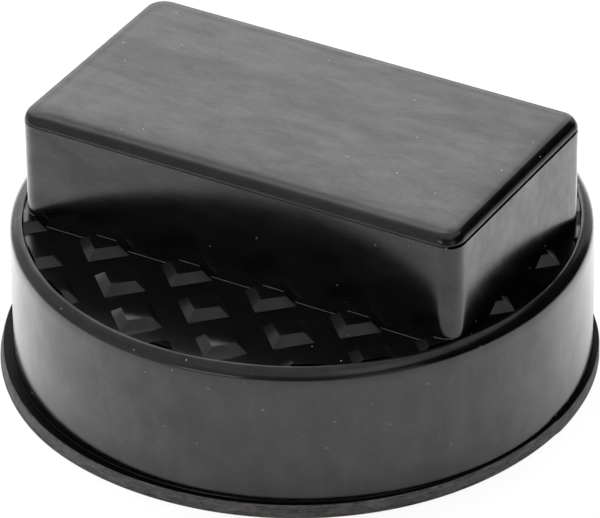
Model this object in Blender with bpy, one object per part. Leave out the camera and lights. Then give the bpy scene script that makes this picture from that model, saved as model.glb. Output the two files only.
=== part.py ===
"""Rubber pad for a lifting jack, moulded as one piece.

A round puck with a flared lip at its foot carries a shallow tray on top, and
the tray's floor is covered with low studs.  A long block with a crowned top
stands across the middle of the tray.  The pad rests on its flat underside,
with the origin at the middle of that face and +Z up.
"""

import math

import bmesh
import bpy

# Puck with the lip around its foot, in metres
PUCK_HEIGHT = 0.0217
WALL_FOOT_RADIUS = 0.0386
WALL_DRAFT = 0.0002
WALL_ROOT_ROUND = 0.0004
LIP_OVERHANG = 0.0014
LIP_HEIGHT = 0.00185
LIP_EDGE_ROUND = 0.0003

# Rim around the tray
RIM_WIDTH = 0.0015
RIM_LAND = 0.0002
RIM_ROUND_HEIGHT = 0.0017
TRAY_DEPTH = 0.00084

# Studs on the tray's floor: a square lattice turned 45 degrees to the block
STUD_HALF_STEP = 0.00628
STUD_HEIGHT = 0.0011
STUD_BASE_REACH = 0.0039
STUD_FLANK_LEAN = 0.0016
STUD_LATTICE_SHIFT = -0.0003
STUD_TO_RIM_GAP = 0.00015
STUD_LEAST_SHOWN = 0.0006

# Block across the tray, a little off the puck's centre
BLOCK_LENGTH = 0.0650
BLOCK_WIDTH = 0.0354
BLOCK_CENTRE_X = 0.0004
BLOCK_CENTRE_Y = -0.0007
BLOCK_RISE = 0.0150
BLOCK_CORNER_RADIUS = 0.0026
CROWN_FOOT_HEIGHT = 0.0003
CROWN_HEIGHT = 0.0012
CROWN_INSET = 0.0039
CROWN_CORNER_RADIUS = 0.0009

# Parting line of the mould, a fine groove where the crown begins
PARTING_GROOVE_DEPTH = 0.00012
PARTING_GROOVE_HEIGHT = 0.00026

# How far the block and the studs are sunk into the puck before they are joined
ROOT_DEPTH = 0.0004

# Greatest share of a wall that a small fillet on it may take
FILLET_SHARE = 0.4

# Steps along the round stretches
TURN_STEPS = 120
ROUND_STEPS = 2
RIM_STEPS = 6
CROWN_STEPS = 7
CORNER_STEPS = 6

RUBBER_COLOUR = (0.022, 0.022, 0.023, 1.0)
RUBBER_ROUGHNESS = 0.48
SMOOTH_ANGLE = 28.0

# Heights and radii that follow from the sizes above
LIP_RADIUS = WALL_FOOT_RADIUS + LIP_OVERHANG
WALL_TOP_RADIUS = WALL_FOOT_RADIUS - WALL_DRAFT
TRAY_RADIUS = WALL_TOP_RADIUS - RIM_WIDTH
TRAY_FLOOR = PUCK_HEIGHT - TRAY_DEPTH
PARTING_HEIGHT = TRAY_FLOOR + BLOCK_RISE
STUD_REACH_LIMIT = TRAY_RADIUS - STUD_TO_RIM_GAP


def clear_scene():
    """Remove everything that the scene holds."""
    for item in list(bpy.data.objects):
        bpy.data.objects.remove(item, do_unlink=True)


def rubber_material():
    """Black satin rubber."""
    material = bpy.data.materials.new("black_rubber")
    material.use_nodes = True
    shader = material.node_tree.nodes["Principled BSDF"]
    shader.inputs["Base Color"].default_value = RUBBER_COLOUR
    shader.inputs["Roughness"].default_value = RUBBER_ROUGHNESS
    shader.inputs["Metallic"].default_value = 0.0
    material.diffuse_color = RUBBER_COLOUR
    return material


def quarter_arc(centre, reach, start_deg, end_deg, steps):
    """Points of a quarter circle or ellipse in the section plane, from one angle to another."""
    points = []
    for step in range(steps + 1):
        angle = math.radians(start_deg + (end_deg - start_deg) * step / steps)
        points.append((centre[0] + reach[0] * math.cos(angle), centre[1] + reach[1] * math.sin(angle)))
    return points


def puck_section():
    """Half section of the puck as (radius, height), from the tray's floor down to the underside."""
    rim_reach = RIM_WIDTH - RIM_LAND
    edge = min(LIP_EDGE_ROUND, FILLET_SHARE * LIP_HEIGHT, FILLET_SHARE * LIP_OVERHANG)
    root = min(WALL_ROOT_ROUND, FILLET_SHARE * LIP_OVERHANG)
    edge_radius = LIP_RADIUS - edge
    section = [(TRAY_RADIUS, TRAY_FLOOR), (TRAY_RADIUS, PUCK_HEIGHT)]
    section += quarter_arc((WALL_TOP_RADIUS - rim_reach, PUCK_HEIGHT - RIM_ROUND_HEIGHT),
                           (rim_reach, RIM_ROUND_HEIGHT), 90.0, 0.0, RIM_STEPS)
    section += quarter_arc((WALL_FOOT_RADIUS + root, LIP_HEIGHT + root),
                           (root, root), 180.0, 270.0, ROUND_STEPS)
    section += quarter_arc((edge_radius, LIP_HEIGHT - edge), (edge, edge), 90.0, 0.0, ROUND_STEPS)
    section += quarter_arc((edge_radius, edge), (edge, edge), 0.0, -90.0, ROUND_STEPS)
    return section


def ring_at(radius, height):
    """Points of one level circle."""
    angles = [2.0 * math.pi * step / TURN_STEPS for step in range(TURN_STEPS)]
    return [(radius * math.cos(angle), radius * math.sin(angle), height) for angle in angles]


def mesh_from_rings(name, rings):
    """Closed mesh of rings that follow each other, with flat ends."""
    shape = bmesh.new()
    loops = [[shape.verts.new(point) for point in ring] for ring in rings]
    for near, far in zip(loops, loops[1:]):
        for index in range(len(near)):
            following = (index + 1) % len(near)
            shape.faces.new((near[index], far[index], far[following], near[following]))
    shape.faces.new(loops[0])
    shape.faces.new(loops[-1])
    bmesh.ops.recalc_face_normals(shape, faces=shape.faces)
    mesh = bpy.data.meshes.new(name)
    shape.to_mesh(mesh)
    shape.free()
    return mesh


def add_object(name, mesh):
    """Put a mesh into the scene as an object."""
    item = bpy.data.objects.new(name, mesh)
    bpy.context.scene.collection.objects.link(item)
    return item


def hide_tool(item):
    """Mark an object as a shape that only joins or cuts another."""
    item.hide_render = True
    item.display_type = "WIRE"


def add_boolean(item, name, operation, other):
    """Join or cut an object with another one."""
    modifier = item.modifiers.new(name, "BOOLEAN")
    modifier.operation = operation
    modifier.object = other


def block_outline(inset, corner, height):
    """Rounded rectangle around the block's upright axis, drawn in by inset."""
    half_length = BLOCK_LENGTH / 2.0 - inset
    half_width = BLOCK_WIDTH / 2.0 - inset
    points = []
    for quarter, (side_x, side_y) in enumerate(((1, 1), (-1, 1), (-1, -1), (1, -1))):
        for step in range(CORNER_STEPS + 1):
            angle = math.radians(90.0 * (quarter + step / CORNER_STEPS))
            points.append((BLOCK_CENTRE_X + side_x * (half_length - corner) + corner * math.cos(angle),
                           BLOCK_CENTRE_Y + side_y * (half_width - corner) + corner * math.sin(angle), height))
    return points


def block_rings():
    """Outlines of the block from its root in the puck up to its flat top."""
    rings = [
        block_outline(0.0, BLOCK_CORNER_RADIUS, TRAY_FLOOR - ROOT_DEPTH),
        block_outline(0.0, BLOCK_CORNER_RADIUS, PARTING_HEIGHT - PARTING_GROOVE_HEIGHT),
        block_outline(PARTING_GROOVE_DEPTH, BLOCK_CORNER_RADIUS, PARTING_HEIGHT - PARTING_GROOVE_HEIGHT / 2.0),
        block_outline(0.0, BLOCK_CORNER_RADIUS, PARTING_HEIGHT),
    ]
    crown_foot = PARTING_HEIGHT + CROWN_FOOT_HEIGHT
    for step in range(CROWN_STEPS + 1):
        angle = math.radians(90.0 * step / CROWN_STEPS)
        share = 1.0 - math.cos(angle)
        corner = BLOCK_CORNER_RADIUS + share * (CROWN_CORNER_RADIUS - BLOCK_CORNER_RADIUS)
        rings.append(block_outline(share * CROWN_INSET, corner, crown_foot + CROWN_HEIGHT * math.sin(angle)))
    return rings


def stud_centres():
    """Lattice points whose studs show between the rim and the block."""
    count = math.ceil((STUD_REACH_LIMIT + STUD_BASE_REACH) / STUD_HALF_STEP)
    centres = []
    for column in range(-count, count + 1):
        for row in range(-count, count + 1):
            if (column + row) % 2:
                continue
            x = column * STUD_HALF_STEP
            y = row * STUD_HALF_STEP + STUD_LATTICE_SHIFT
            inside_rim = STUD_REACH_LIMIT + STUD_BASE_REACH - math.hypot(x, y)
            past_end = abs(x - BLOCK_CENTRE_X) + STUD_BASE_REACH - BLOCK_LENGTH / 2.0
            past_side = abs(y - BLOCK_CENTRE_Y) + STUD_BASE_REACH - BLOCK_WIDTH / 2.0
            if min(inside_rim, max(past_end, past_side)) > STUD_LEAST_SHOWN:
                centres.append((x, y))
    return centres


def stud_mesh():
    """All studs as pyramids without a tip, each rooted under the tray's floor."""
    root_reach = STUD_BASE_REACH + STUD_FLANK_LEAN * ROOT_DEPTH / STUD_HEIGHT
    levels = (
        (TRAY_FLOOR - ROOT_DEPTH, root_reach),
        (TRAY_FLOOR + STUD_HEIGHT, STUD_BASE_REACH - STUD_FLANK_LEAN),
    )
    shape = bmesh.new()
    for x, y in stud_centres():
        low, high = [
            [shape.verts.new((x + side_x * reach, y + side_y * reach, height))
             for side_x, side_y in ((1, 0), (0, 1), (-1, 0), (0, -1))]
            for height, reach in levels
        ]
        shape.faces.new(low)
        shape.faces.new(high)
        for index in range(4):
            following = (index + 1) % 4
            shape.faces.new((low[index], low[following], high[following], high[index]))
    bmesh.ops.recalc_face_normals(shape, faces=shape.faces)
    mesh = bpy.data.meshes.new("studs")
    shape.to_mesh(mesh)
    shape.free()
    return mesh


def tray_core():
    """Disc that trims the studs just inside the rim."""
    low = TRAY_FLOOR - 2.0 * ROOT_DEPTH
    high = TRAY_FLOOR + 2.0 * STUD_HEIGHT
    return mesh_from_rings("tray_core", [ring_at(STUD_REACH_LIMIT, high), ring_at(STUD_REACH_LIMIT, low)])


def build_pad():
    """Join puck, studs and block into the one moulded body."""
    core = add_object("tray_core", tray_core())
    hide_tool(core)

    studs = add_object("studs", stud_mesh())
    hide_tool(studs)
    add_boolean(studs, "trim_at_rim", "INTERSECT", core)

    block = add_object("block", mesh_from_rings("block", block_rings()))
    hide_tool(block)

    puck_rings = [ring_at(radius, height) for radius, height in puck_section()]
    pad = add_object("rubber_pad", mesh_from_rings("rubber_pad", puck_rings))
    add_boolean(pad, "join_studs", "UNION", studs)
    add_boolean(pad, "join_block", "UNION", block)
    pad.data.materials.append(rubber_material())
    pad.data.shade_smooth()
    pad.data.set_sharp_from_angle(angle=math.radians(SMOOTH_ANGLE))
    return pad


clear_scene()
build_pad()
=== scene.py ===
"""Rubber pad for a lifting jack, moulded as one piece.

The moulded forms, the worn rubber finishes and the small studio around the pad.
"""

import logging
import math
import random
from collections.abc import Callable, Iterable, Sequence
from dataclasses import dataclass, field
from enum import Enum
from functools import cache, cached_property
from typing import Any

import bmesh
import bpy
from mathutils import Matrix, Vector


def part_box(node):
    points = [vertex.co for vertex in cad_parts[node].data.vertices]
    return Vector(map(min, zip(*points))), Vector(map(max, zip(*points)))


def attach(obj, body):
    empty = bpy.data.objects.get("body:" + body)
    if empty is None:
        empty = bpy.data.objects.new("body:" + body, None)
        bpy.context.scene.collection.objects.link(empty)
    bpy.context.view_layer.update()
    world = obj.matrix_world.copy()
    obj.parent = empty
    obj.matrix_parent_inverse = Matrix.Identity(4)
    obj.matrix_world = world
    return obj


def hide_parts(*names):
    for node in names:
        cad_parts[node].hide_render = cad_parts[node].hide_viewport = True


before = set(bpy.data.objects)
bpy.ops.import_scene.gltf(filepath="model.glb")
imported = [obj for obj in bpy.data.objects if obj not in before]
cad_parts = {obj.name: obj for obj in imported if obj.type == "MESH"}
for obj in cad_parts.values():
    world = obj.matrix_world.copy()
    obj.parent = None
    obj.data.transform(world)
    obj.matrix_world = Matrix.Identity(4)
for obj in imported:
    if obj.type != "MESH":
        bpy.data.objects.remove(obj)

LOG = logging.getLogger("rubber_pad")

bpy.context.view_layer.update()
CAD_NODE = "rubber_pad"
CAD_BODY = "root"

MM = 0.001
FULL_TURN = 2.0 * math.pi
UP = Vector((0.0, 0.0, 1.0))
END_SIDE = Vector((1.0, 0.0, 0.0))
FRONT_SIDE = Vector((0.0, -1.0, 0.0))
WHITE = (1.0, 1.0, 1.0)

# Share of a dot's reach that is solid, and how softly places are chosen to hold one
DOT_CORE = 0.4
DOT_LOT_EDGE = 0.02

Colour = tuple[float, float, float]
Point = tuple[float, float, float]
Station = tuple[float, float]
Bend = tuple[float, float, float]
Ring = list[Point]
Loop = list[bmesh.types.BMVert]


class Finish(Enum):
    """The rubber surfaces that the pad shows."""

    WALL = "moulded_wall"
    TREAD = "moulded_tread"
    TRIMMED = "trimmed_lip"
    LEDGE = "ledge"
    UNDERSIDE = "moulded_underside"
    BLOCK = "moulded_block"
    # Torn flash coloured pale grey: real flash, with a painted highlight on the bead at the block's foot and
    # painted glints on the parting crumbs
    FLASH = "torn_flash_painted_highlight"


class Operation(Enum):
    """Sums that an expression on sockets can ask for."""

    ADD = "ADD"
    SUBTRACT = "SUBTRACT"
    MULTIPLY = "MULTIPLY"


def operator(operation: Operation, swapped: bool = False) -> Callable[["Signal", Any], "Signal"]:
    """Make a method that combines a signal with another value.

    Args:
        operation: what to do with the two.
        swapped: whether the other value comes first.

    Returns:
        The method.
    """
    def method(signal: "Signal", other: Any) -> "Signal":
        """Combine the signal and the other value in their order."""
        pair = (other, signal) if swapped else (signal, other)
        return signal.sheet.combine(operation, *pair)

    return method


class Signal:
    """A shader socket that adds the right node when it takes part in a Python expression."""

    def __init__(self, sheet: "Sheet", socket: bpy.types.NodeSocket) -> None:
        """Keep the socket and the sheet that it lies on."""
        self.sheet = sheet
        self.socket = socket

    __add__ = operator(Operation.ADD)
    __radd__ = operator(Operation.ADD, swapped=True)
    __sub__ = operator(Operation.SUBTRACT)
    __rsub__ = operator(Operation.SUBTRACT, swapped=True)
    __mul__ = operator(Operation.MULTIPLY)

    def sine(self) -> "Signal":
        """Sine of this signal, taken in radians."""
        return self.sheet.output("ShaderNodeMath", {"operation": "SINE"}, {0: self})

    def larger(self, other: Any) -> "Signal":
        """The larger of this signal and another value."""
        return self.sheet.output("ShaderNodeMath", {"operation": "MAXIMUM"}, {0: self, 1: other})

    def rise(self, start: float, end: float) -> "Signal":
        """Smooth step of this signal.

        Args:
            start: value at which the result is 0.
            end: value at which the result is 1, which may lie below start.

        Returns:
            A signal between 0 and 1.
        """
        settings = {"interpolation_type": "SMOOTHSTEP", "clamp": True}
        span = {"From Min": min(start, end), "From Max": max(start, end)}
        step = self.sheet.output("ShaderNodeMapRange", settings, {"Value": self, **span})
        return step if end >= start else 1.0 - step

    def part(self, axis: int) -> "Signal":
        """One component of a vector signal, counted from 0 for X."""
        split = self.sheet.node("ShaderNodeSeparateXYZ", {}, {0: self})
        return Signal(self.sheet, split.outputs[axis])


@dataclass
class Sheet:
    """The node sheet of one material or world."""

    tree: bpy.types.NodeTree

    def node(self, kind: str, settings: dict[str, Any], sockets: dict[Any, Any]) -> bpy.types.Node:
        """Add a node.

        Args:
            kind: the node's type.
            settings: attributes of the node, set before its sockets.
            sockets: values or signals by the input socket's name or number.

        Returns:
            The new node.
        """
        made = self.tree.nodes.new(kind)
        for name, value in settings.items():
            setattr(made, name, value)
        for key, value in sockets.items():
            self.feed(made.inputs[key], value)
        return made

    def feed(self, socket: bpy.types.NodeSocket, value: Any) -> None:
        """Link a signal to an input socket, or write a plain value on it.

        Args:
            socket: the input socket.
            value: a signal, number, vector or colour.
        """
        if isinstance(value, Signal):
            self.tree.links.new(value.socket, socket)
        elif socket.type == "RGBA" and len(value) == 3:
            socket.default_value = (*value, 1.0)
        else:
            socket.default_value = value

    def output(self, kind: str, settings: dict[str, Any], sockets: dict[Any, Any], key: Any = 0) -> Signal:
        """Add a node and return one of its outputs.

        Args:
            kind: the node's type.
            settings: attributes of the node, set before its sockets.
            sockets: values or signals by the input socket's name or number.
            key: name or number of the output socket.

        Returns:
            The output as a signal.
        """
        return Signal(self, self.node(kind, settings, sockets).outputs[key])

    def combine(self, operation: Operation, left: Any, right: Any) -> Signal:
        """Add the node for a sum of two values, at least one of them a signal.

        Args:
            operation: what to do with the two.
            left: first signal, number or vector.
            right: second signal, number or vector.

        Returns:
            The result as a signal.
        """
        kinds = {value.socket.type for value in (left, right) if isinstance(value, Signal)}
        settings = {"operation": operation.value}
        if "VECTOR" in kinds:
            pair = [(value,) * 3 if isinstance(value, (int, float)) else value for value in (left, right)]
            return self.output("ShaderNodeVectorMath", settings, {0: pair[0], 1: pair[1]})
        return self.output("ShaderNodeMath", settings, {0: left, 1: right})

    def tint(self, share: Any, plain: Any, other: Any) -> Signal:
        """Mix two colours.

        Args:
            share: how much of the other colour shows, from 0 to 1.
            plain: colour where the share is 0.
            other: colour where the share is 1.

        Returns:
            The mixed colour as a signal.
        """
        mix = self.node("ShaderNodeMix", {"data_type": "RGBA"}, {"Factor": share})
        colour_inputs = [socket for socket in mix.inputs if socket.type == "RGBA"]
        for socket, value in zip(colour_inputs, (plain, other)):
            self.feed(socket, value)
        result = next(socket for socket in mix.outputs if socket.type == "RGBA")
        return Signal(self, result)

    @cached_property
    def place(self) -> Signal:
        """Place on the pad in millimetres, in the row frame."""
        return self.output("ShaderNodeTexCoord", {}, {}, "Object") * (1.0 / MM)

    def clouds(self, place: Signal, size: float, detail: float = 2.0, warp: float = 0.0,
               shift: float = 0.0) -> Signal:
        """Soft noise between about 0.2 and 0.8.

        Args:
            place: where to read the noise, in millimetres.
            size: size of one cloud in millimetres.
            detail: number of finer layers.
            warp: how far the noise bends itself.
            shift: moves the noise, so that two layers of it differ.

        Returns:
            The noise as a signal.
        """
        moved = place + shift if shift else place
        return self.output("ShaderNodeTexNoise", {},
                           {"Vector": moved, "Scale": 1.0 / size, "Detail": detail, "Distortion": warp})

    def dots(self, place: Signal, spacing: float, reach: float, share: float) -> Signal:
        """Scattered dots, or dashes where the place is stretched.

        Args:
            place: where to read the pattern, in millimetres.
            spacing: mean distance of the places that may hold a dot.
            reach: largest radius of a dot as a share of the spacing.
            share: share of the places that hold a dot.

        Returns:
            1 on a dot and 0 beside it.
        """
        cells = self.node("ShaderNodeTexVoronoi", {}, {"Vector": place, "Scale": 1.0 / spacing})
        distance = Signal(self, cells.outputs["Distance"])
        lot = self.output("ShaderNodeSeparateColor", {}, {0: Signal(self, cells.outputs["Color"])})
        held = lot.rise(1.0 - share - DOT_LOT_EDGE, 1.0 - share)
        return distance.rise(reach, DOT_CORE * reach) * held


def blank_material(name: str) -> tuple[bpy.types.Material, Sheet]:
    """Make a material whose node sheet is empty.

    Args:
        name: the material's name.

    Returns:
        The material and its sheet.
    """
    material = bpy.data.materials.new(name)
    material.use_nodes = True
    material.node_tree.nodes.clear()
    return material, Sheet(material.node_tree)


def add_object(name: str, data: bpy.types.ID) -> bpy.types.Object:
    """Put a mesh, lamp or camera into the scene.

    Args:
        name: the object's name.
        data: what it shows.

    Returns:
        The new object.
    """
    item = bpy.data.objects.new(name, data)
    bpy.context.scene.collection.objects.link(item)
    return item


@dataclass(frozen=True)
class RubberFinish:
    """Black rubber with the marks of its mould and of handling, lengths in millimetres."""

    colour: Colour = (0.0007, 0.0007, 0.0008)
    haze_colour: Colour = (0.0035, 0.0035, 0.004)
    haze: float = 0.35
    haze_size: float = 9.0
    middle_share: float = 0.28
    mottle_size: float = 0.32
    smear_weights: Point = (0.40, 0.32, 0.28)
    ior: float = 1.5
    gloss_tint: Colour = (0.95, 0.955, 1.0)
    roughness: float = 0.20
    roughness_swing: float = 0.06
    coat: float = 0.08
    coat_swing: float = 0.42
    coat_roughness: float = 0.17
    grain_size: float = 0.55
    grain_height: float = 0.0035
    dent_size: float = 6.0
    dent_height: float = 0.012
    stretch: Point = (1.0, 1.0, 1.0)
    dust: float = 0.5
    dust_colour: Colour = (0.22, 0.22, 0.21)
    dust_roughness: float = 0.3
    scratches: float = 0.10
    scratch_dust: float = 0.55
    scratch_depth: float = 0.006
    level_scratch: Point = (0.22, 1.0, 1.6)
    slanting_scratch: Point = (1.5, 0.5, 0.24)
    line_pitch: float = 0.0
    line_height: float = 0.0
    line_waver: float = 5.0

    def dress(self, name: str) -> bpy.types.Material:
        """Build the material.

        Args:
            name: the material's name.

        Returns:
            The new material.
        """
        material, sheet = blank_material(name)
        specks = self.specks(sheet)
        ticks = self.ticks(sheet)
        smear = self.smears(sheet)
        rubber = sheet.tint(smear * self.haze, self.colour, self.haze_colour)
        marked = sheet.tint(ticks * self.scratch_dust, rubber, self.dust_colour)
        height = self.relief(sheet, ticks)
        shader = sheet.output("ShaderNodeBsdfPrincipled", {}, {
            "Base Color": sheet.tint(specks, marked, self.dust_colour),
            "Roughness": self.roughness + (smear - 0.5) * self.roughness_swing + specks * self.dust_roughness,
            "IOR": self.ior,
            "Specular Tint": self.gloss_tint,
            "Coat Weight": (smear * self.coat_swing + self.coat) * (1.0 - specks),
            "Coat Roughness": self.coat_roughness,
            "Normal": sheet.output("ShaderNodeBump", {}, {"Distance": MM, "Height": height}),
        })
        sheet.node("ShaderNodeOutputMaterial", {}, {"Surface": shader})
        material.diffuse_color = (*self.colour, 1.0)
        material.roughness = self.roughness
        return material

    def smears(self, sheet: Sheet) -> Signal:
        """Wiped and greasy patches with a finer mottle in them.

        Args:
            sheet: the material's node sheet.

        Returns:
            The smears, from 0 to 1.
        """
        drawn = sheet.place * self.stretch
        middle_size = self.middle_share * self.haze_size
        broad = sheet.clouds(drawn, self.haze_size, detail=4.0, warp=0.8).rise(0.36, 0.66)
        middle = sheet.clouds(drawn, middle_size, detail=3.0, warp=0.4, shift=23.0).rise(0.32, 0.70)
        fine = sheet.clouds(drawn, self.mottle_size, shift=31.0).rise(0.30, 0.72)
        weights = self.smear_weights
        return broad * weights[0] + middle * weights[1] + fine * weights[2]

    def specks(self, sheet: Sheet) -> Signal:
        """Dust that lies on the rubber, 1 on a grain of it."""
        faint = sheet.dots(sheet.place + 7.3, spacing=1.3, reach=0.050, share=0.4 * self.dust) * 0.4
        return sheet.dots(sheet.place, spacing=2.4, reach=0.060, share=self.dust).larger(faint)

    def ticks(self, sheet: Sheet) -> Signal:
        """Short hairline scratches along two directions.

        Args:
            sheet: the material's node sheet.

        Returns:
            1 on a scratch and 0 beside it.
        """
        level = sheet.dots(sheet.place * self.level_scratch, spacing=1.9, reach=0.06, share=self.scratches)
        drawn = sheet.place * self.slanting_scratch + 3.1
        slanting = sheet.dots(drawn, spacing=1.7, reach=0.05, share=self.scratches)
        return level.larger(slanting)

    def relief(self, sheet: Sheet, ticks: Signal) -> Signal:
        """Height of the fine surface in millimetres.

        Args:
            sheet: the material's node sheet.
            ticks: mask of the scratches.

        Returns:
            The height as a signal.
        """
        drawn = sheet.place * self.stretch
        grain = sheet.clouds(drawn, self.grain_size, detail=3.0) * self.grain_height
        dents = sheet.clouds(drawn, self.dent_size, shift=11.0) * self.dent_height
        height = grain + dents - ticks * self.scratch_depth
        if not self.line_pitch:
            return height
        waver = sheet.clouds(sheet.place, size=1.7) * self.line_waver
        lines = (sheet.place.part(2) * (FULL_TURN / self.line_pitch) + waver).sine()
        strength = sheet.clouds(sheet.place, size=2.2, shift=5.0).rise(0.35, 0.65)
        return height + lines * strength * self.line_height


FINISHES: dict[Finish, RubberFinish] = {
    Finish.WALL: RubberFinish(coat=0.10, dust=0.98, stretch=(1.0, 1.0, 0.7)),
    Finish.TREAD: RubberFinish(
        haze=0.05, coat=0.0, coat_swing=0.10, dust=0.10, scratches=0.04, line_pitch=0.16, line_height=0.003),
    Finish.TRIMMED: RubberFinish(
        colour=(0.003, 0.003, 0.003), haze=1.0, haze_colour=(0.115, 0.108, 0.100), haze_size=1.3,
        roughness=0.66, coat=0.0, coat_swing=0.0, grain_size=0.30, grain_height=0.05, dent_size=1.3,
        dent_height=0.10, stretch=(0.40, 0.40, 2.0), line_pitch=0.45, line_height=0.03),
    Finish.LEDGE: RubberFinish(
        ior=1.16, haze=0.15, haze_size=2.0, roughness=0.50, roughness_swing=0.2, coat=0.0, coat_swing=0.04,
        grain_size=0.35, grain_height=0.02, dent_size=1.2, dent_height=0.05, dust=0.6),
    Finish.UNDERSIDE: RubberFinish(haze=0.6, roughness=0.45),
    Finish.BLOCK: RubberFinish(
        ior=1.45, roughness=0.18, coat=0.0, coat_swing=0.5, haze_size=7.0, grain_height=0.005, dust=0.5,
        stretch=(0.45, 1.2, 1.0)),
    # Pale grey, far lighter than the rubber: painted highlight and glints on the flash's small edges, on top
    # of the flash's own colour
    Finish.FLASH: RubberFinish(
        colour=(0.05, 0.05, 0.05), haze=0.8, haze_colour=(0.11, 0.11, 0.11), roughness=0.3, dust=0.0,
        scratches=0.0),
}


@cache
def finish_material(finish: Finish) -> bpy.types.Material:
    """The material of a finish, made when it is first asked for."""
    return FINISHES[finish].dress(finish.value)


@dataclass
class Skin:
    """A mesh under construction, made of rings and caps; sharper turns than the angle stay crisp."""

    name: str
    finishes: list[Finish]
    sharp_angle: float = 32.0
    shape: bmesh.types.BMesh = field(default_factory=bmesh.new)

    def ring(self, points: Iterable[Point]) -> Loop:
        """Add the points of one ring."""
        return [self.shape.verts.new(point) for point in points]

    def bridge(self, near: Loop, far: Loop, finish: Finish) -> None:
        """Close the band between two rings of the same count.

        Args:
            near: first ring.
            far: second ring.
            finish: finish of the band.
        """
        for index in range(len(near)):
            following = (index + 1) % len(near)
            band = self.shape.faces.new((near[index], far[index], far[following], near[following]))
            band.material_index = self.finishes.index(finish)

    def cap(self, ring: Loop, finish: Finish) -> None:
        """Close a ring with one flat face."""
        face = self.shape.faces.new(ring)
        face.material_index = self.finishes.index(finish)

    def close(self, rings: Sequence[Loop], finish: Finish) -> None:
        """Close a stack of rings with bands between them and a cap at each end.

        Args:
            rings: the rings in their order, all of the same count.
            finish: finish of the whole stack.
        """
        for near, far in zip(rings, rings[1:]):
            self.bridge(near, far, finish)
        self.cap(rings[0], finish)
        self.cap(rings[-1], finish)

    def finish_piece(self) -> bpy.types.Object:
        """Turn the mesh into an object of the scene.

        Returns:
            The new object.
        """
        bmesh.ops.recalc_face_normals(self.shape, faces=self.shape.faces)
        mesh = bpy.data.meshes.new(self.name)
        self.shape.to_mesh(mesh)
        self.shape.free()
        for finish in self.finishes:
            mesh.materials.append(finish_material(finish))
        mesh.shade_smooth()
        mesh.set_sharp_from_angle(angle=math.radians(self.sharp_angle))
        return add_object(self.name, mesh)


def around(count: int, start: float = 0.0) -> list[float]:
    """Angles in radians, spread evenly over a full turn."""
    return [start + FULL_TURN * number / count for number in range(count)]


def arc(centre: Station, reach: Station, start: float, end: float, steps: int) -> list[Station]:
    """Points of an elliptical arc in a section.

    Args:
        centre: middle of the arc.
        reach: half axes of the ellipse.
        start: first angle in degrees.
        end: last angle in degrees.
        steps: number of chords.

    Returns:
        The points, with both ends.
    """
    angles = [math.radians(start + (end - start) * step / steps) for step in range(steps + 1)]
    return [(centre[0] + reach[0] * math.cos(angle), centre[1] + reach[1] * math.sin(angle))
            for angle in angles]


def bent(start: Station, bends: Sequence[Bend], run: float, step: float = 0.07 * MM) -> list[Station]:
    """Points of a section that falls away outward through a row of bends.

    Args:
        start: first point.
        bends: slope below level at the start and at the end of each stretch, in degrees, and its length.
        run: how far the whole section reaches outward, to which the lengths are scaled.
        step: about the distance of the points.

    Returns:
        The points, without the first one.
    """
    def walked(scale: float) -> list[Station]:
        """Walk through the bends.

        Args:
            scale: factor on their lengths.

        Returns:
            The points on the way.
        """
        spot = start
        points = []
        for first, last, length in bends:
            count = max(2, round(length * scale / step))
            for number in range(count):
                slope = math.radians(first + (last - first) * (number + 0.5) / count)
                pace = length * scale / count
                spot = (spot[0] + pace * math.cos(slope), spot[1] - pace * math.sin(slope))
                points.append(spot)
        return points

    plain = walked(1.0)
    return walked(run / (plain[-1][0] - start[0]))


def ease(value: float, start: float, end: float) -> float:
    """Smooth step of a plain number, 0 at start and 1 at end."""
    share = min(max((value - start) / (end - start), 0.0), 1.0)
    return share * share * (3.0 - 2.0 * share)


def read_line(marks: Sequence[Station], place: float, soft: bool = False) -> float:
    """Read a line through marks.

    Args:
        marks: place and value of each mark, in rising order of the place.
        place: where to read the line.
        soft: whether it eases from mark to mark, or else runs straight.

    Returns:
        The value there, or that of the nearest end.
    """
    for (start, low), (end, high) in zip(marks, marks[1:]):
        if place <= end:
            straight = max(place - start, 0.0) / max(end - start, 1.0e-9)
            return low + (high - low) * (ease(place, start, end) if soft else straight)
    return marks[-1][1]


@dataclass(frozen=True)
class PadSizes:
    """Sizes that more than one sub-assembly needs, in metres."""

    lip_radius: float
    top: float
    puck_height: float = 21.7 * MM
    tray_depth: float = 0.84 * MM
    tray_radius: float = 36.75 * MM
    block_centre: Station = (0.4 * MM, -0.7 * MM)
    block_length: float = 65.0 * MM
    block_width: float = 35.4 * MM
    block_corner: float = 2.6 * MM
    root: float = 0.4 * MM

    @property
    def tray_floor(self) -> float:
        """Height of the tray's floor."""
        return self.puck_height - self.tray_depth

    @classmethod
    def from_frame(cls) -> "PadSizes":
        """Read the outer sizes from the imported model."""
        low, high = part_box(CAD_NODE)
        return cls(lip_radius=(high.x - low.x) / 2.0, top=high.z)


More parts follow.
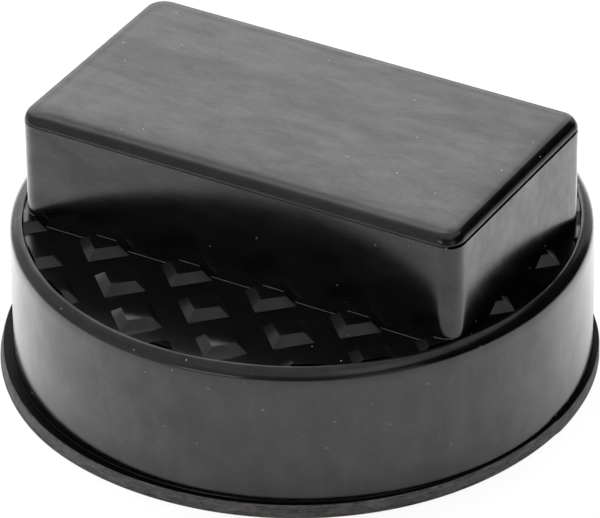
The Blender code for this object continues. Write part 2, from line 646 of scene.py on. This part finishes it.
@dataclass
class Lip:
    """Hand-trimmed outline of the lip at the puck's foot, with its trims and bevels by angle in degrees."""

    radius: float
    off_centre: Station = (-0.877 * MM, 0.331 * MM)
    trims: tuple[Station, ...] = (
        (-180.0, 0.0), (-160.0, 0.05 * MM), (-136.0, -0.05 * MM), (-113.0, 0.15 * MM), (-70.0, 0.22 * MM),
        (-8.0, 0.24 * MM), (8.0, 0.09 * MM), (28.0, 0.09 * MM), (41.0, -0.20 * MM), (60.0, -0.25 * MM),
        (180.0, 0.0))
    bevels: tuple[Station, ...] = (
        (-180.0, 0.50 * MM), (-150.0, 0.50 * MM), (-125.0, 0.34 * MM), (-95.0, 0.12 * MM), (-20.0, 0.04 * MM),
        (25.0, 0.08 * MM), (60.0, 0.20 * MM), (180.0, 0.50 * MM))
    wave_height: float = 0.09 * MM
    waves: int = 5
    wave_turn: float = math.radians(18.0)
    cut_angle: float = math.radians(-3.5)
    cut_width: float = math.radians(2.2)
    cut_depth: float = 0.16 * MM
    cut_end: float = math.radians(-38.0)

    def reach(self, angle: float) -> float:
        """Distance of the outline from the puck's axis.

        Args:
            angle: angle around the axis, in radians from minus pi to pi.

        Returns:
            The distance in metres.
        """
        shifted = self.off_centre[0] * math.cos(angle) + self.off_centre[1] * math.sin(angle)
        wave = -self.wave_height * math.cos(self.waves * (angle + self.wave_turn))
        knife = ease(angle, self.cut_angle + self.cut_width, self.cut_angle)
        knife *= ease(angle, self.cut_end, self.cut_angle)
        trim = read_line(self.trims, math.degrees(angle), soft=True)
        return self.radius + shifted + wave + trim - self.cut_depth * knife

    def bevel(self, angle: float) -> float:
        """How far the lip's upper edge stands back from its foot, where the knife was held at a slant."""
        return read_line(self.bevels, math.degrees(angle), soft=True)


@dataclass
class Puck:
    """Round puck with its lip, wall, rim and tray floor."""

    sizes: PadSizes
    wall_foot: float = 38.6 * MM
    wall_top: float = 38.56 * MM
    rim_fall: float = 0.2 * MM
    root_rise: float = 0.3 * MM
    lip_height: float = 2.1 * MM
    foot_flare: float = 0.16 * MM
    foot_bends: tuple[Bend, ...] = ((90.0, 82.0, 0.50 * MM), (82.0, 40.0, 0.16 * MM), (40.0, 5.0, 0.10 * MM))
    gutter: float = 0.12 * MM
    ledge_fold: float = 0.15
    ledge_bands: int = 3
    edge_round: float = 0.22 * MM
    edge_steps: int = 4
    side_bulges: tuple[Station, ...] = ((0.03 * MM, 0.62), (-0.02 * MM, 0.36))
    rim_bends: tuple[Bend, ...] = (
        (3.0, 25.0, 0.52 * MM), (25.0, 38.0, 0.42 * MM), (38.0, 50.0, 0.85 * MM), (50.0, 81.0, 0.62 * MM),
        (81.0, 90.0, 1.3 * MM))
    inner_edge: float = 0.12 * MM
    foot_steps: int = 4
    rim_steps: int = 5
    turn_steps: int = 480
    rim_wobble: float = 0.03 * MM
    rim_waves: tuple[Point, ...] = ((1.0, 7.0, 0.6), (0.7, 13.0, 2.1), (0.5, 41.0, 0.0))

    def wobble(self, angle: float) -> float:
        """Small unevenness of the rim's inner edge."""
        return self.rim_wobble * sum(size * math.sin(count * angle + turn)
                                     for size, count, turn in self.rim_waves)

    def upper_section(self) -> list[Station]:
        """Section from the tray floor over the rim down to the lip's root.

        Returns:
            Radius and height of each ring.
        """
        size = self.sizes
        edge = self.inner_edge
        foot_centre = (size.tray_radius - edge, size.tray_floor + edge)
        rim_centre = (size.tray_radius + edge, size.puck_height - edge)
        section = [(size.tray_radius - 3.0 * edge, size.tray_floor)]
        section += arc(foot_centre, (edge, edge), -90.0, 0.0, self.foot_steps)
        section += arc(rim_centre, (edge, edge), 180.0, 90.0, self.rim_steps)
        section += bent(section[-1], self.rim_bends, self.wall_top - section[-1][0])
        flare = bent((self.wall_foot, 0.0), self.foot_bends, self.foot_flare)
        rise = self.lip_height - self.gutter - flare[-1][1]
        section.append((self.wall_top, section[-1][1] - self.rim_fall))
        section += [(self.wall_foot, rise + self.root_rise), (self.wall_foot, rise)]
        return section + [(radius, height + rise) for radius, height in flare]

    def build(self) -> bpy.types.Object:
        """Model the puck.

        Returns:
            The puck as an object.
        """
        skin = Skin("puck", [Finish.TREAD, Finish.WALL, Finish.LEDGE, Finish.TRIMMED, Finish.UNDERSIDE])
        angles = around(self.turn_steps, -math.pi)
        upper = self.upper_section()
        tray_bands = self.foot_steps + 1
        last_uneven = tray_bands + self.rim_steps + 2
        rings = []
        for number, (radius, height) in enumerate(upper):
            uneven = tray_bands <= number <= last_uneven
            reaches = [radius + (self.wobble(angle) if uneven else 0.0) for angle in angles]
            rings.append(self.turned(skin, angles, reaches, height))
        for index, (near, far) in enumerate(zip(rings, rings[1:])):
            outer = Finish.WALL if index < len(rings) - 1 - self.ledge_bands else Finish.LEDGE
            skin.bridge(near, far, Finish.TREAD if index < tray_bands else outer)
        foot = self.lip_rings(skin, Lip(self.sizes.lip_radius), angles, upper[-1][0])
        skin.bridge(rings[-1], foot[0], Finish.LEDGE)
        for index, (near, far) in enumerate(zip(foot, foot[1:])):
            skin.bridge(near, far, Finish.LEDGE if index < self.ledge_bands else Finish.TRIMMED)
        skin.cap(rings[0], Finish.TREAD)
        skin.cap(foot[-1], Finish.UNDERSIDE)
        return skin.finish_piece()

    def turned(self, skin: Skin, angles: Sequence[float], reaches: Sequence[float], height: float) -> Loop:
        """Add one level ring of the puck.

        Args:
            skin: the mesh to add to.
            angles: angles of the points.
            reaches: distance of each point from the axis.
            height: height of the ring.

        Returns:
            The ring's vertices.
        """
        return skin.ring((reach * math.cos(angle), reach * math.sin(angle), height)
                         for angle, reach in zip(angles, reaches))

    def lip_rings(self, skin: Skin, lip: Lip, angles: Sequence[float], root: float) -> list[Loop]:
        """Add the ledge, the trimmed side and the rounded foot of the lip.

        Args:
            skin: the mesh to add to.
            lip: the lip's outline.
            angles: angles of the points.
            root: radius at which the ledge leaves the wall.

        Returns:
            The rings from the ledge down to the underside.
        """
        edge = self.edge_round
        fold = [root + self.ledge_fold * (lip.reach(angle) - lip.bevel(angle) - edge - root)
                for angle in angles]
        side = arc((-edge, self.lip_height - edge), (edge, edge), 90.0, 0.0, self.edge_steps)
        side += [(bulge, self.lip_height * share) for bulge, share in self.side_bulges]
        side += arc((-edge, edge), (edge, edge), 0.0, -90.0, self.edge_steps)
        rings = [self.turned(skin, angles, fold, self.lip_height - self.gutter)]
        for offset, height in side:
            slant = height / self.lip_height
            reaches = [lip.reach(angle) + offset - slant * lip.bevel(angle) for angle in angles]
            rings.append(self.turned(skin, angles, reaches, height))
        return rings


@dataclass
class Tread:
    """Studs on the tray's floor, a square lattice turned 45 degrees to the block."""

    sizes: PadSizes
    half_step: float = 6.28 * MM
    height: float = 1.1 * MM
    base_reach: float = 3.9 * MM
    flank_lean: float = 1.6 * MM
    shift: float = -0.3 * MM
    rim_gap: float = 0.15 * MM
    least_shown: float = 0.6 * MM
    edge_bevel: float = 0.09 * MM
    sharp_angle: float = 24.0
    trim_steps: int = 360

    @property
    def reach_limit(self) -> float:
        """Radius at which the studs are trimmed inside the rim."""
        return self.sizes.tray_radius - self.rim_gap

    def centres(self) -> list[Station]:
        """Find the lattice points whose studs show between the rim and the block.

        Returns:
            The middle of each stud.
        """
        count = math.ceil((self.reach_limit + self.base_reach) / self.half_step)
        spots = [(column * self.half_step, row * self.half_step + self.shift)
                 for column in range(-count, count + 1) for row in range(-count, count + 1)
                 if (column + row) % 2 == 0]
        return [spot for spot in spots if self.shown(*spot) > self.least_shown]

    def shown(self, x: float, y: float) -> float:
        """How far a stud reaches into the open part of the tray.

        Args:
            x: the stud's place along the block.
            y: the stud's place across the block.

        Returns:
            The reach, which is below zero where the stud is hidden.
        """
        size = self.sizes
        inside_rim = self.reach_limit + self.base_reach - math.hypot(x, y)
        past_end = abs(x - size.block_centre[0]) + self.base_reach - size.block_length / 2.0
        past_side = abs(y - size.block_centre[1]) + self.base_reach - size.block_width / 2.0
        return min(inside_rim, max(past_end, past_side))

    def rise_at(self, x: float, y: float) -> float:
        """Height of the studs over the tray's floor at one place."""
        nearest = min(abs(x - spot[0]) + abs(y - spot[1]) for spot in self.centres())
        return self.height * min(max((self.base_reach - nearest) / self.flank_lean, 0.0), 1.0)

    def build(self) -> bpy.types.Object:
        """Model the studs, with softened edges, trimmed inside the rim.

        Returns:
            The studs as one object.
        """
        skin = Skin("tread_studs", [Finish.TREAD], self.sharp_angle)
        for spot in self.centres():
            self.add_stud(skin, spot)
        floor = self.sizes.tray_floor
        crisp = [edge for edge in skin.shape.edges if max(vert.co.z for vert in edge.verts) > floor]
        bmesh.ops.bevel(skin.shape, geom=crisp, offset=self.edge_bevel, offset_type="OFFSET", segments=2,
                        profile=0.5, affect="EDGES", clamp_overlap=True)
        studs = skin.finish_piece()
        self.trim(studs)
        return studs

    def add_stud(self, skin: Skin, spot: Station) -> None:
        """Add one pyramid without a tip, rooted under the tray's floor.

        Args:
            skin: the mesh to add to.
            spot: the stud's middle.
        """
        size = self.sizes
        root_reach = self.base_reach + self.flank_lean * size.root / self.height
        levels = ((root_reach, size.tray_floor - size.root),
                  (self.base_reach - self.flank_lean, size.tray_floor + self.height))
        skin.close([self.diamond(skin, spot, reach, height) for reach, height in levels], Finish.TREAD)

    def diamond(self, skin: Skin, spot: Station, reach: float, height: float) -> Loop:
        """Add a square that stands on its corner."""
        return skin.ring((spot[0] + reach * side_x, spot[1] + reach * side_y, height)
                         for side_x, side_y in ((1, 0), (0, 1), (-1, 0), (0, -1)))

    def trim(self, studs: bpy.types.Object) -> None:
        """Cut the studs off just inside the rim and apply the cut.

        Args:
            studs: the object to cut.
        """
        size = self.sizes
        disc = Skin("tray_core", [Finish.TREAD])
        levels = (size.tray_floor - 2.0 * size.root, size.tray_floor + 2.0 * self.height)
        disc.close([disc.ring((self.reach_limit * math.cos(angle), self.reach_limit * math.sin(angle), level)
                              for angle in around(self.trim_steps)) for level in levels], Finish.TREAD)
        core = disc.finish_piece()
        cut = studs.modifiers.new("trim_at_rim", "BOOLEAN")
        cut.operation = "INTERSECT"
        cut.object = core
        settle(studs)
        studs.data.set_sharp_from_angle(angle=math.radians(self.sharp_angle))
        bpy.data.objects.remove(core, do_unlink=True)


def settle(piece: bpy.types.Object) -> None:
    """Apply the modifiers of an object to its mesh.

    Args:
        piece: the object.
    """
    graph = bpy.context.evaluated_depsgraph_get()
    settled = bpy.data.meshes.new_from_object(piece.evaluated_get(graph))
    piece.modifiers.clear()
    old = piece.data
    piece.data = settled
    settled.name = piece.name
    bpy.data.meshes.remove(old)


@dataclass
class Block:
    """Long block across the tray, with a crowned top and the mould's parting line."""

    sizes: PadSizes
    rise: float = 15.0 * MM
    side_ring: float = 0.4
    crown_inset: float = 3.9 * MM
    crown_corner: float = 0.9 * MM
    crown_foot: float = 0.02 * MM
    crown_bends: tuple[Bend, ...] = (
        (0.5, 4.0, 1.35 * MM), (4.0, 12.0, 1.15 * MM), (12.0, 25.0, 0.75 * MM), (25.0, 62.0, 0.32 * MM),
        (62.0, 82.0, 0.92 * MM))
    end_bends: tuple[Bend, ...] = (
        (0.5, 6.0, 1.8 * MM), (6.0, 14.0, 0.85 * MM), (14.0, 30.0, 0.55 * MM), (30.0, 58.0, 0.25 * MM),
        (58.0, 83.0, 1.15 * MM))
    end_blend: Station = (2.2 * MM, 0.3 * MM)
    groove_depth: float = 0.12 * MM
    groove_height: float = 0.22 * MM
    groove_floor: Station = (0.35, 0.65)
    groove_margins: Station = (0.20 * MM, 0.03 * MM)
    end_groove: float = 0.30 * MM
    end_groove_drop: float = 0.22 * MM
    flat_inset: float = 0.2 * MM
    corner_steps: int = 14
    run_step: float = 0.8 * MM

    @property
    def parting_height(self) -> float:
        """Height of the mould's parting line."""
        return self.sizes.tray_floor + self.rise

    def outline(self, inset: float, corner: float) -> list[Station]:
        """Rounded rectangle around the block's axis.

        Args:
            inset: how far it is drawn in from the block's sides.
            corner: radius of its corners.

        Returns:
            Its points, with the straight runs cut into short steps.
        """
        size = self.sizes
        lengths = (size.block_length / 2.0, size.block_width / 2.0)
        half = [length - inset - corner for length in lengths]
        quarters = (((1, 1), (-1, 0)), ((-1, 1), (0, -1)), ((-1, -1), (1, 0)), ((1, -1), (0, 1)))
        points: list[Station] = []
        for quarter, (side, heading) in enumerate(quarters):
            middle = (size.block_centre[0] + side[0] * half[0], size.block_centre[1] + side[1] * half[1])
            points += arc(middle, (corner, corner), 90.0 * quarter, 90.0 * (quarter + 1), self.corner_steps)
            count = round(2.0 * (lengths[quarter % 2] - size.block_corner) / self.run_step)
            start = points[-1]
            for step in range(1, count):
                pace = 2.0 * half[quarter % 2] * step / count
                points.append((start[0] + heading[0] * pace, start[1] + heading[1] * pace))
        return points

    def end_share(self, x: float, inset: float = 0.0) -> float:
        """How far a point belongs to the right-hand end, from 0 to 1."""
        end = self.sizes.block_centre[0] + self.sizes.block_length / 2.0 - inset
        return ease(x, end - self.end_blend[0], end - self.end_blend[1])

    def level_ring(self, inset: float, corner: float, height: float, end_height: float | None = None) -> Ring:
        """Ring around the block, which may lie at another height along the right-hand end."""
        lift = (height if end_height is None else end_height) - height
        return [(x, y, height + lift * self.end_share(x, inset)) for x, y in self.outline(inset, corner)]

    def groove_ring(self, height: float, drop: float) -> Ring:
        """Ring at the bottom of the parting groove, which runs deeper along the right-hand end."""
        return [(x - self.end_groove * self.end_share(x), y, height - drop * self.end_share(x))
                for x, y in self.outline(self.groove_depth, self.sizes.block_corner)]

    def crown(self, bends: Sequence[Bend]) -> list[Station]:
        """Crown section as inset and height, from the parting line up to the flat top.

        Args:
            bends: bends from the flat top outwards.

        Returns:
            The stations, with the rise scaled to the crown's height.
        """
        top = self.sizes.top
        section = bent((0.0, top), bends, self.crown_inset)
        fall = (top - self.parting_height - self.crown_foot) / (top - section[-1][1])
        return [(self.crown_inset - run, top - fall * (top - height))
                for run, height in reversed([(0.0, top)] + section[:-1])]

    def rings(self) -> list[Ring]:
        """Lay out the block from its root up to the flat top.

        Returns:
            The rings, from below.
        """
        size = self.sizes
        corner = size.block_corner
        low = self.parting_height - self.groove_height
        drops = (self.end_groove_drop, 0.0)
        rings = [self.level_ring(0.0, corner, height)
                 for height in (size.tray_floor - size.root, size.tray_floor + self.side_ring * self.rise)]
        rings += [self.level_ring(0.0, corner, low - margin, low - margin - self.end_groove_drop)
                  for margin in self.groove_margins]
        rings += [self.groove_ring(low + share * self.groove_height, drop)
                  for share, drop in zip(self.groove_floor, drops)]
        rings.append(self.level_ring(0.0, corner, self.parting_height))
        end_crown = self.crown(self.end_bends)
        for inset, height in self.crown(self.crown_bends):
            turn = corner + inset / self.crown_inset * (self.crown_corner - corner)
            rings.append(self.level_ring(inset, turn, height, read_line(end_crown, inset)))
        rings.append(self.level_ring(self.crown_inset + self.flat_inset, self.crown_corner, size.top))
        return rings

    def build(self) -> bpy.types.Object:
        """Model the block.

        Returns:
            The block as an object.
        """
        skin = Skin("block", [Finish.BLOCK])
        skin.close([skin.ring(points) for points in self.rings()], Finish.BLOCK)
        return skin.finish_piece()


@dataclass
class FootFlashAndHighlight:
    """Thin bead of flash where the block meets the tray and the studs, coloured pale to paint the highlight
    line along the block's foot.
    """

    block: Block
    tread: Tread
    radius: float = 0.055 * MM
    step: float = 0.22 * MM
    sides: int = 6
    last_y: float = -13.0 * MM
    flank_sink: float = 2.5
    sharp_angle: float = 80.0

    def build(self) -> bpy.types.Object:
        """Model the bead along the block's foot.

        Returns:
            The bead as an object.
        """
        route = self.route()
        # The pale flash finish on this bead is a painted highlight line, not only flash
        skin = Skin("foot_flash_and_highlight", [Finish.FLASH], self.sharp_angle)
        hoops = [skin.ring(self.hoop(spot, ahead)) for spot, ahead in zip(route, route[1:])]
        skin.close(hoops, Finish.FLASH)
        return skin.finish_piece()

    def hoop(self, spot: Point, ahead: Point) -> Ring:
        """Lay a ring around the bead at one place.

        Args:
            spot: middle of the bead.
            ahead: its next middle.

        Returns:
            The ring's points.
        """
        heading = Vector((ahead[0] - spot[0], ahead[1] - spot[1], 0.0)).normalized()
        outward = heading.cross(UP)
        return [tuple(Vector(spot) + (outward * math.cos(angle) + UP * math.sin(angle)) * self.radius)
                for angle in around(self.sides)]

    def route(self) -> list[Point]:
        """Find the middle of the bead along the block's front and around its near corner.

        Returns:
            Its points, sunk on the studs' flanks.
        """
        size = self.block.sizes
        outline = [spot for spot in self.block.outline(0.0, size.block_corner) if spot[1] < self.last_y]
        route: list[Point] = []
        for near, far in zip(outline, outline[1:]):
            count = max(1, round(math.dist(near, far) / self.step))
            for number in range(count):
                x = near[0] + (far[0] - near[0]) * number / count
                y = near[1] + (far[1] - near[1]) * number / count
                rise = self.tread.rise_at(x, y)
                level = rise if rise in (0.0, self.tread.height) else rise - self.flank_sink * self.radius
                route.append((x, y, size.tray_floor + level))
        return route


@dataclass
class PartingCrumbsAndGlints:
    """Crumbs of flash left along the parting line, coloured pale to paint small glints, with their ranges and
    the glint slivers in millimetres.
    """

    block: Block
    seed: int = 11
    count_end: int = 26
    count_front: int = 9
    end_margin: float = 3.0 * MM
    half_widths: Station = (0.06, 0.22)
    half_heights: Station = (0.03, 0.09)
    falls: Station = (0.0, 0.10)
    ragged: Station = (0.7, 1.2)
    bed: float = 0.05 * MM
    stand: float = 0.045 * MM
    crest_share: float = 0.5
    sides: int = 5
    sharp_angle: float = 20.0
    # Slivers coloured pale by the flash finish: painted glints on the parting line
    glint_nibs: tuple[Point, ...] = ((-27.6, 0.16, 0.35), (-15.3, 0.14, 0.75), (-14.9, 0.10, 0.45),
                               (22.9, 0.22, 0.14), (23.7, 0.28, 0.10), (31.2, 0.20, 0.30))

    def build(self) -> bpy.types.Object:
        """Model the crumbs.

        Returns:
            The crumbs as one object.
        """
        skin = Skin("parting_crumbs_and_glints", [Finish.FLASH], self.sharp_angle)
        draw = random.Random(self.seed)
        size = self.block.sizes
        centre_x, centre_y = size.block_centre
        half_length, half_width = size.block_length / 2.0, size.block_width / 2.0
        level = self.block.parting_height - self.block.groove_height
        reach = half_width - self.end_margin
        for _ in range(self.count_end):
            middle = Vector((centre_x + half_length, centre_y + draw.uniform(-reach, reach), level))
            self.add_crumb(skin, draw, middle, END_SIDE)
        reach = half_length - self.end_margin
        for _ in range(self.count_front):
            middle = Vector((centre_x + draw.uniform(-reach, reach), centre_y - half_width, level))
            self.add_crumb(skin, draw, middle, FRONT_SIDE)
        for across, wide, tall in self.glint_nibs:
            middle = Vector((centre_x + across * MM, centre_y - half_width, level + 0.5 * tall * MM))
            self.add_flake(skin, draw, middle, FRONT_SIDE, (0.5 * wide * MM, 0.5 * tall * MM))
        return skin.finish_piece()

    def add_crumb(self, skin: Skin, draw: random.Random, middle: Vector, outward: Vector) -> None:
        """Add one small crumb at a random depth just under the parting line.

        Args:
            skin: the mesh to add to.
            draw: source of its size, depth and outline.
            middle: its place on the parting line.
            outward: normal of the side.
        """
        reach = (draw.uniform(*self.half_widths) * MM, draw.uniform(*self.half_heights) * MM)
        drop = reach[1] + draw.uniform(*self.falls) * MM
        if outward == END_SIDE:
            drop += self.block.end_groove_drop
        self.add_flake(skin, draw, middle - UP * drop, outward, reach)

    def add_flake(self, skin: Skin, draw: random.Random, spot: Vector, outward: Vector,
                  reach: Station) -> None:
        """Add one flat flake that lies on a side of the block.

        Args:
            skin: the mesh to add to.
            draw: source of its uneven outline.
            spot: middle of the flake on the side.
            outward: normal of the side.
            reach: half its width and half its height.
        """
        sideways = outward.cross(UP)
        flat = [(sideways * math.cos(angle) * reach[0] + UP * math.sin(angle) * reach[1])
                * draw.uniform(*self.ragged) for angle in around(self.sides)]
        foot = skin.ring(tuple(spot - outward * self.bed + step) for step in flat)
        crest = skin.ring(tuple(spot + outward * self.stand + step * self.crest_share) for step in flat)
        skin.close([foot, crest], Finish.FLASH)


def aim(azimuth: float, elevation: float) -> Vector:
    """Unit vector towards a place around the pad.

    Args:
        azimuth: degrees from the front (-Y) towards +X.
        elevation: degrees above level.

    Returns:
        The vector.
    """
    turn = math.radians(azimuth)
    lift = math.radians(elevation)
    return Vector((math.sin(turn) * math.cos(lift), -math.cos(turn) * math.cos(lift), math.sin(lift)))


@dataclass
class Softbox:
    """A soft lamp that faces the pad."""

    name: str
    azimuth: float
    elevation: float
    distance: float
    width: float
    height: float
    brightness: float
    in_gloss: bool = True

    def place(self, target: Vector) -> bpy.types.Object:
        """Set the lamp up.

        Args:
            target: the point that it faces.

        Returns:
            The lamp as an object.
        """
        lamp = bpy.data.lights.new(self.name, "AREA")
        lamp.shape = "RECTANGLE"
        lamp.size = self.width
        lamp.size_y = self.height
        lamp.energy = self.brightness * math.pi * self.width * self.height
        box = add_object(self.name, lamp)
        outward = aim(self.azimuth, self.elevation)
        turn = outward.to_track_quat("Z", "Y").to_matrix().to_4x4()
        box.matrix_world = Matrix.Translation(target + outward * self.distance) @ turn
        box.visible_glossy = self.in_gloss
        return box


@dataclass
class ShadeCard:
    """A card around the studio that glows with a fixed shade and shows only in gloss: a painted reflection
    that shapes the reflections but sheds no light.
    """

    name: str
    start: float
    end: float
    low: float
    high: float
    shade: float
    radius: float = 1.7
    steps: int = 24

    def edge(self, count: int, level: float) -> list[Vector]:
        """Points along one edge of the card.

        Args:
            count: number of points.
            level: their height.

        Returns:
            The points.
        """
        azimuths = [self.start + (self.end - self.start) * step / self.steps for step in range(count)]
        return [aim(azimuth, 0.0) * self.radius + UP * level for azimuth in azimuths]

    def place(self) -> bpy.types.Object:
        """Set the curved card up.

        Returns:
            The card as a stage object.
        """
        count = self.steps + 1
        points = self.edge(count, self.low) + self.edge(count, self.high)
        return self.stand(points, [(step, step + 1, step + 1 + count, step + count)
                                   for step in range(self.steps)])

    def lay_roof(self) -> bpy.types.Object:
        """Lay a round card overhead at the card's upper level."""
        return self.stand(self.edge(self.steps, self.high), [tuple(range(self.steps))])

    def stand(self, points: Sequence[Vector], faces: Sequence[tuple[int, ...]]) -> bpy.types.Object:
        """Make a card that camera, diffuse light and shadows pass through.

        Args:
            points: its corners.
            faces: numbers of the corners of each face.

        Returns:
            The card as a stage object.
        """
        mesh = bpy.data.meshes.new(self.name)
        mesh.from_pydata(points, [], faces)
        material, sheet = blank_material(self.name)
        # The card glows with its shade and only gloss sees it: a painted reflection
        card_glow = sheet.output("ShaderNodeEmission", {}, {"Color": (self.shade,) * 3, "Strength": 1.0})
        sheet.node("ShaderNodeOutputMaterial", {}, {"Surface": card_glow})
        mesh.materials.append(material)
        card = add_object(self.name, mesh)
        card.visible_camera = False
        card.visible_diffuse = False
        card.visible_shadow = False
        return card


# Azimuth, elevation, distance, width, height, brightness and whether gloss shows the lamp
SOFTBOXES = (
    Softbox("overhead_softbox", 226.0, 54.0, 1.3, 0.6, 0.22, 1.4),
    Softbox("rear_left_softbox", 209.5, 34.0, 1.3, 0.5, 0.45, 0.88),
    Softbox("rear_left_wide_softbox", 213.0, 26.0, 1.35, 1.1, 0.95, 0.45),
    Softbox("front_window", -5.0, 13.0, 1.3, 0.5, 0.3, 1.8),
    Softbox("right_window", 60.0, 14.0, 1.3, 0.6, 0.6, 0.3),
    Softbox("front_right_softbox", 66.0, 56.0, 1.3, 0.5, 0.4, 0.4),
    Softbox("near_fill", 0.0, 89.0, 0.35, 0.3, 0.3, 3.6, False),
    Softbox("low_fill", 0.0, 89.0, 0.16, 0.1, 0.1, 2.6, False),
    Softbox("low_left_fill", -75.0, 45.0, 0.16, 0.1, 0.1, 5.0, False),
    Softbox("low_rear_fill", 150.0, 45.0, 0.16, 0.1, 0.1, 4.4, False),
)

# First and last azimuth, lower and upper level, and shade
ROOF_CARD = ShadeCard("roof_card", 0.0, 360.0, 1.9, 1.9, 0.62)
WALL_CARDS = (
    ShadeCard("right_card", 75.0, 165.0, 0.03, 1.9, 0.008),
    ShadeCard("rear_right_card", 165.0, 188.0, 0.03, 1.0, 0.5),
    ShadeCard("rear_right_high_card", 165.0, 188.0, 1.0, 1.9, 0.01),
    ShadeCard("front_right_card", 8.0, 75.0, 0.03, 1.9, 0.18),
    ShadeCard("front_card", -20.0, 8.0, 0.03, 1.9, 0.42),
    ShadeCard("front_left_card", -45.0, -20.0, 0.03, 1.9, 0.60),
    ShadeCard("far_left_card", -75.0, -45.0, 0.03, 1.9, 0.50),
    ShadeCard("left_low_card", -111.0, -75.0, 0.03, 0.75, 0.50),
    ShadeCard("left_card", -111.0, -75.0, 0.75, 1.9, 0.62),
)


@dataclass
class Studio:
    """White floor and backdrop, soft lamps, and cards that glow only in reflections."""

    floor_half: float = 4.0
    floor_drop: float = 0.02 * MM
    floor_colour: Colour = (0.93, 0.93, 0.93)
    white_in_shot: float = 0.88
    white_in_gloss: float = 0.06
    sky_level: float = 0.25
    target: Point = (0.0, 0.0, 15.0 * MM)

    def seen(self, sheet: Sheet, in_shot: float, in_gloss: float) -> Signal:
        """How white the background shows to a ray.

        Args:
            sheet: the node sheet of the floor or the surround.
            in_shot: share of plain white for camera rays.
            in_gloss: share of plain white for rays from gloss and through glass.

        Returns:
            The share as a signal, 0 for rays that only carry light.
        """
        path = sheet.node("ShaderNodeLightPath", {}, {})
        camera, glossy, glass = (Signal(sheet, path.outputs[name])
                                 for name in ("Is Camera Ray", "Is Glossy Ray", "Is Transmission Ray"))
        return (camera * in_shot).larger(glossy.larger(glass) * in_gloss)

    def lay_floor(self) -> bpy.types.Object:
        """Lay the pale floor, which shows white but keeps a soft shadow.

        Returns:
            The floor as a stage object.
        """
        half = self.floor_half
        corners = [(-half, -half, 0.0), (half, -half, 0.0), (half, half, 0.0), (-half, half, 0.0)]
        mesh = bpy.data.meshes.new("floor")
        mesh.from_pydata(corners, [], [(0, 1, 2, 3)])
        material, sheet = blank_material("pale_floor")
        paper = sheet.output("ShaderNodeBsdfDiffuse", {}, {"Color": self.floor_colour})
        white = sheet.output("ShaderNodeEmission", {}, {"Color": WHITE, "Strength": 1.0})
        share = self.seen(sheet, self.white_in_shot, self.white_in_gloss)
        mixed = sheet.output("ShaderNodeMixShader", {}, {0: share, 1: paper, 2: white})
        sheet.node("ShaderNodeOutputMaterial", {}, {"Surface": mixed})
        mesh.materials.append(material)
        floor = add_object("floor", mesh)
        floor.location.z = -self.floor_drop
        return floor

    def hang_sky(self) -> None:
        """Surround the scene with plain white, at a lower level where it only lights."""
        world = bpy.data.worlds.new("white_surround")
        world.use_nodes = True
        world.node_tree.nodes.clear()
        sheet = Sheet(world.node_tree)
        level = self.seen(sheet, 1.0, 1.0) * (1.0 - self.sky_level) + self.sky_level
        light = sheet.output("ShaderNodeBackground", {}, {"Color": WHITE, "Strength": level})
        sheet.node("ShaderNodeOutputWorld", {}, {"Surface": light})
        world.cycles.sampling_method = "NONE"
        bpy.context.scene.world = world

    def set_up(self) -> None:
        """Put floor, surround, lamps and cards in place."""
        self.lay_floor()
        self.hang_sky()
        for softbox in SOFTBOXES:
            softbox.place(Vector(self.target))
        ROOF_CARD.lay_roof()
        for card in WALL_CARDS:
            card.place()


@dataclass
class Viewpoint:
    """Camera at the photograph's angle."""

    azimuth: float = math.degrees(0.5268)
    elevation: float = math.degrees(0.5695)
    roll: float = -0.013
    distance: float = 0.763268
    lens: float = 345.95
    sensor: float = 36.0
    aim_height: float = 14.176 * MM
    aim_right: float = -0.312 * MM
    clip: Station = (0.01, 20.0)

    def set_up(self) -> None:
        """Create the camera and make it the scene's own."""
        back = aim(self.azimuth, self.elevation)
        turn = math.radians(self.azimuth)
        right = Vector((math.cos(turn), math.sin(turn), 0.0))
        up = back.cross(right)
        tilted_right = right * math.cos(self.roll) + up * math.sin(self.roll)
        tilted_up = up * math.cos(self.roll) - right * math.sin(self.roll)
        spot = UP * self.aim_height + right * self.aim_right + back * self.distance
        data = bpy.data.cameras.new("camera")
        data.sensor_width = self.sensor
        data.lens = self.lens
        data.clip_start, data.clip_end = self.clip
        camera = add_object("camera", data)
        axes = Matrix((tilted_right, tilted_up, back)).transposed().to_4x4()
        camera.matrix_world = Matrix.Translation(spot) @ axes
        bpy.context.scene.camera = camera


def present(piece: bpy.types.Object) -> None:
    """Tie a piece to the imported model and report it.

    Args:
        piece: the dressed piece.
    """
    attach(piece, CAD_BODY)
    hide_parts(CAD_NODE)
    LOG.info("%s: %d faces", piece.name, len(piece.data.polygons))


def main() -> None:
    """Build the pad piece by piece, then its studio and camera."""
    logging.basicConfig(level=logging.INFO, format="%(name)s: %(message)s")
    bpy.context.scene.view_settings.view_transform = "Standard"
    sizes = PadSizes.from_frame()
    tread = Tread(sizes)
    block = Block(sizes)
    for maker in (Puck(sizes), tread, block, FootFlashAndHighlight(block, tread), PartingCrumbsAndGlints(block)):
        present(maker.build())
    Studio().set_up()
    Viewpoint().set_up()


if __name__ == "__main__":
    main()
